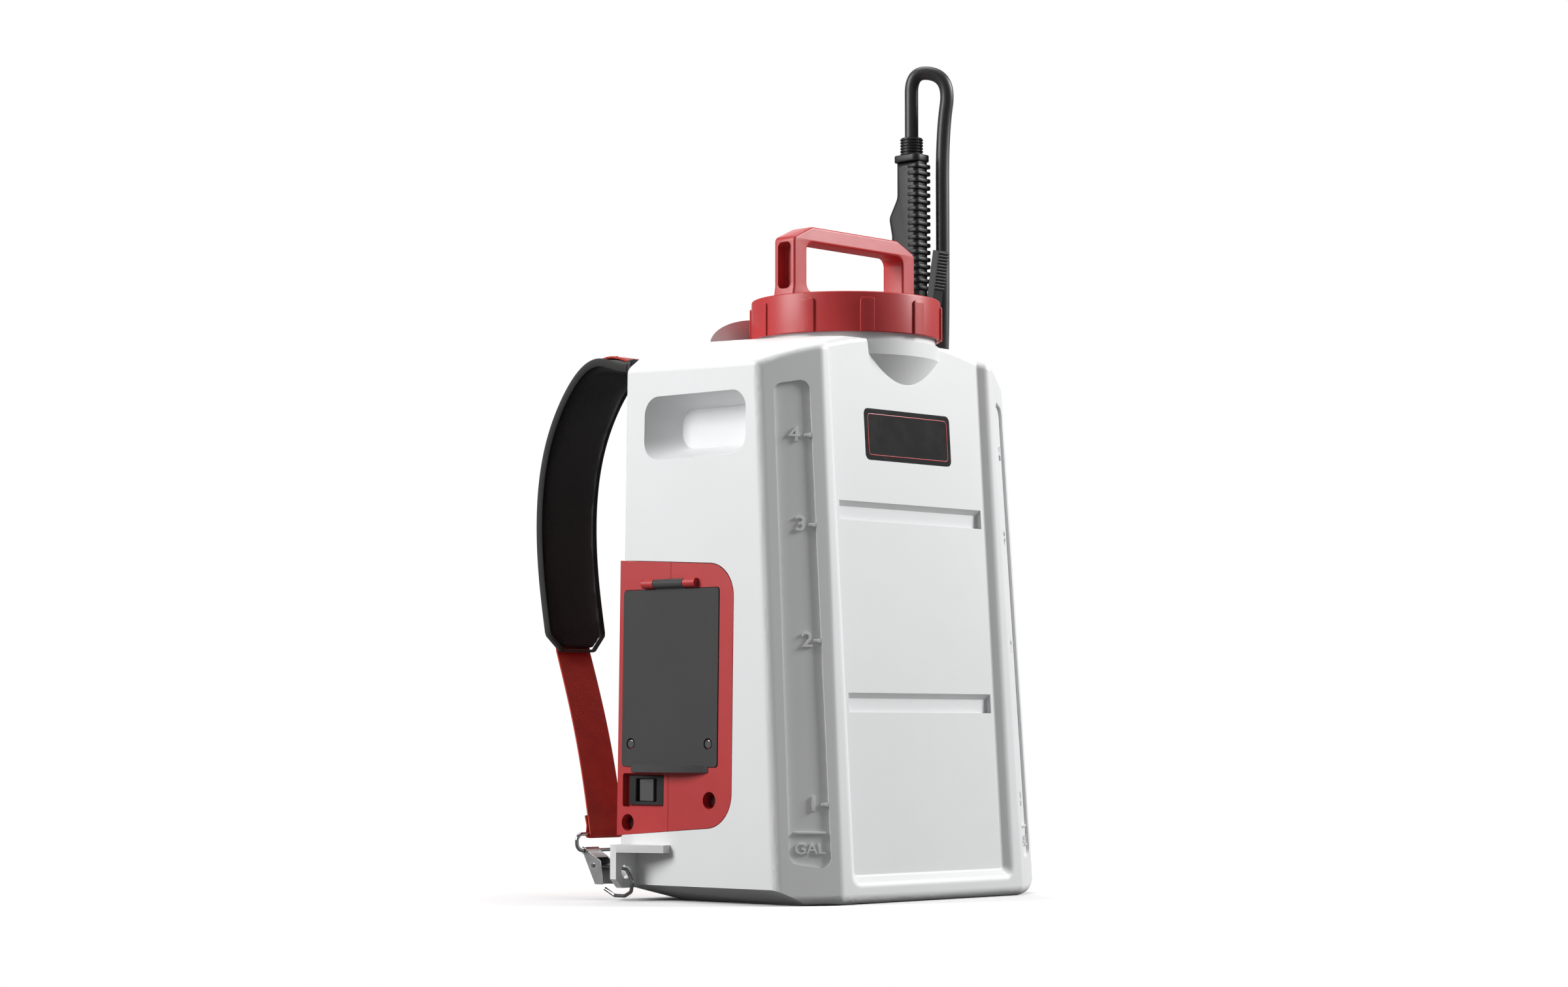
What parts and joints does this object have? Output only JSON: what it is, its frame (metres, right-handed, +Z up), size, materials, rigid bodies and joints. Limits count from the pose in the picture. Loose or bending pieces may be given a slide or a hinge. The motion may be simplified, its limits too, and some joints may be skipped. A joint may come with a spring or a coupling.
{
  "type": "backpack sprayer",
  "caption": "Battery backpack sprayer: tapered plastic tank with a screw cap and carrying handle, drive compartment under a hinged smoked flap, shoulder straps, hose and spray lance.",
  "frame": {"origin": "centre of the tank's flat underside", "axes": "+Z up, -Y the label face, +Y the wearer's side, -X the drive compartment, +X the lance"},
  "size_m": [0.3949, 0.3121, 0.715],
  "materials": {
    "tank_white": "slightly grainy",
    "label_black": "glossy",
    "red_plastic": "satin",
    "dark_rubber": "matte",
    "black_plastic": "satin",
    "smoked_plastic": "clear",
    "steel": "polished",
    "plated_steel": "satin",
    "brass_parts": "plain",
    "board_green": "plain",
    "black_foam": "woven over foam",
    "red_webbing": "woven",
    "white_plastic": "plain"
  },
  "bodies": {
    "sprayer": {"tank": "tank_white", "label_plate": "label_black", "strainer_basket": "white_plastic", "strainer_rim": "white_plastic", "cover_front": "red_plastic", "cover_rear": "red_plastic", "flap_pin": "plated_steel", "catch_studs": "steel", "cover_screws": "plated_steel", "battery_tray": "black_plastic", "battery_pack": "black_plastic", "terminal_block": "black_plastic", "terminal_blades": "brass_parts", "control_board": "board_green", "switch_frame": "black_plastic", "pump_head": "black_plastic", "pump_cover": "black_plastic", "pump_screws": "plated_steel", "motor_can": "plated_steel", "pump_bracket": "plated_steel", "suction_fitting": "black_plastic", "suction_grommet": "dark_rubber", "inlet_filter": "white_plastic", "outlet_elbow": "black_plastic", "outlet_nut": "black_plastic", "gun_body": "black_plastic", "hose_nut": "black_plastic", "trigger_pin": "plated_steel", "lance_tube": "plated_steel", "lance_nut": "black_plastic", "lance_clips": "black_plastic", "anchor_screws": "plated_steel", "hose": "dark_rubber", "left_strap_pad": "black_foam", "left_strap_webbing": "red_webbing", "left_strap_anchor": "black_plastic", "left_strap_ring": "steel", "left_strap_clip": "steel", "right_strap_pad": "black_foam", "right_strap_webbing": "red_webbing", "right_strap_anchor": "black_plastic", "right_strap_ring": "steel", "right_strap_clip": "steel"},
    "cap_seal": {"cap_gasket": "dark_rubber"},
    "cap": {"cap": "red_plastic", "vent_valve": "dark_rubber"},
    "flap": {"battery_flap": "smoked_plastic"},
    "battery_button": {"battery_button": "red_plastic"},
    "rocker": {"switch_rocker": "black_plastic"},
    "rotor": {"pump_rotor": "plated_steel"},
    "trigger": {"trigger": "black_plastic"},
    "valve_stem": {"valve_stem": "brass_parts"},
    "trigger_lock": {"trigger_lock": "black_plastic"},
    "nozzle": {"nozzle": "brass_parts"},
    "left_hook": {"left_clip_hook": "steel"},
    "right_hook": {"right_clip_hook": "steel"}
  },
  "joints": [
    {"name": "cap_lift", "type": "slide", "parent": "sprayer", "child": "cap_seal", "axis": [0, 0, 1], "range_m": [0, 0.16]},
    {"name": "cap_turn", "type": "hinge", "parent": "cap_seal", "child": "cap", "pos_m": [0, -0.005, 0.48], "axis": [0, 0, 1], "range_deg": [0, 450]},
    {"name": "flap_hinge", "type": "hinge", "parent": "sprayer", "child": "flap", "pos_m": [-0.15685, 0.04275, 0.25], "axis": [0, 1, 0], "range_deg": [0, 110]},
    {"name": "button_press", "type": "slide", "parent": "sprayer", "child": "battery_button", "axis": [0.9999, 0, -0.015], "range_m": [0, 0.002], "stiffness_N_per_m": 600},
    {"name": "rocker_tilt", "type": "hinge", "parent": "sprayer", "child": "rocker", "pos_m": [-0.14883, 0.07125, 0.07786], "axis": [0, 0, 1], "range_deg": [0, 16]},
    {"name": "rotor_spin", "type": "hinge", "parent": "sprayer", "child": "rotor", "pos_m": [-0.02, 0.068, 0.14], "axis": [0, 0, 1], "continuous": true},
    {"name": "trigger_squeeze", "type": "hinge", "parent": "sprayer", "child": "trigger", "pos_m": [0.17, 0.046, 0.482], "axis": [-1, 0, 0], "range_deg": [0, 10], "stiffness_Nm_per_rad": 1.5},
    {"name": "stem_slide", "type": "slide", "parent": "sprayer", "child": "valve_stem", "axis": [0, 1, 0], "range_m": [0, 0.0025]},
    {"name": "lock_push", "type": "slide", "parent": "sprayer", "child": "trigger_lock", "axis": [0, -1, 0], "range_m": [0, 0.003]},
    {"name": "nozzle_turn", "type": "hinge", "parent": "sprayer", "child": "nozzle", "pos_m": [0.17, 0.067, 0.07], "axis": [0, 0, 1], "range_deg": [0, 180]},
    {"name": "left_hook_swing", "type": "hinge", "parent": "sprayer", "child": "left_hook", "pos_m": [-0.17, 0.107, 0.0272], "axis": [1, 0, 0], "range_deg": [0, 4], "stiffness_Nm_per_rad": 0.3},
    {"name": "right_hook_swing", "type": "hinge", "parent": "sprayer", "child": "right_hook", "pos_m": [0.17, 0.107, 0.0272], "axis": [1, 0, 0], "range_deg": [0, 4], "stiffness_Nm_per_rad": 0.3}
  ],
  "couplings": [
    {"joint": "stem_slide", "follows": "trigger_squeeze", "m_per_rad": 0.013}
  ]
}
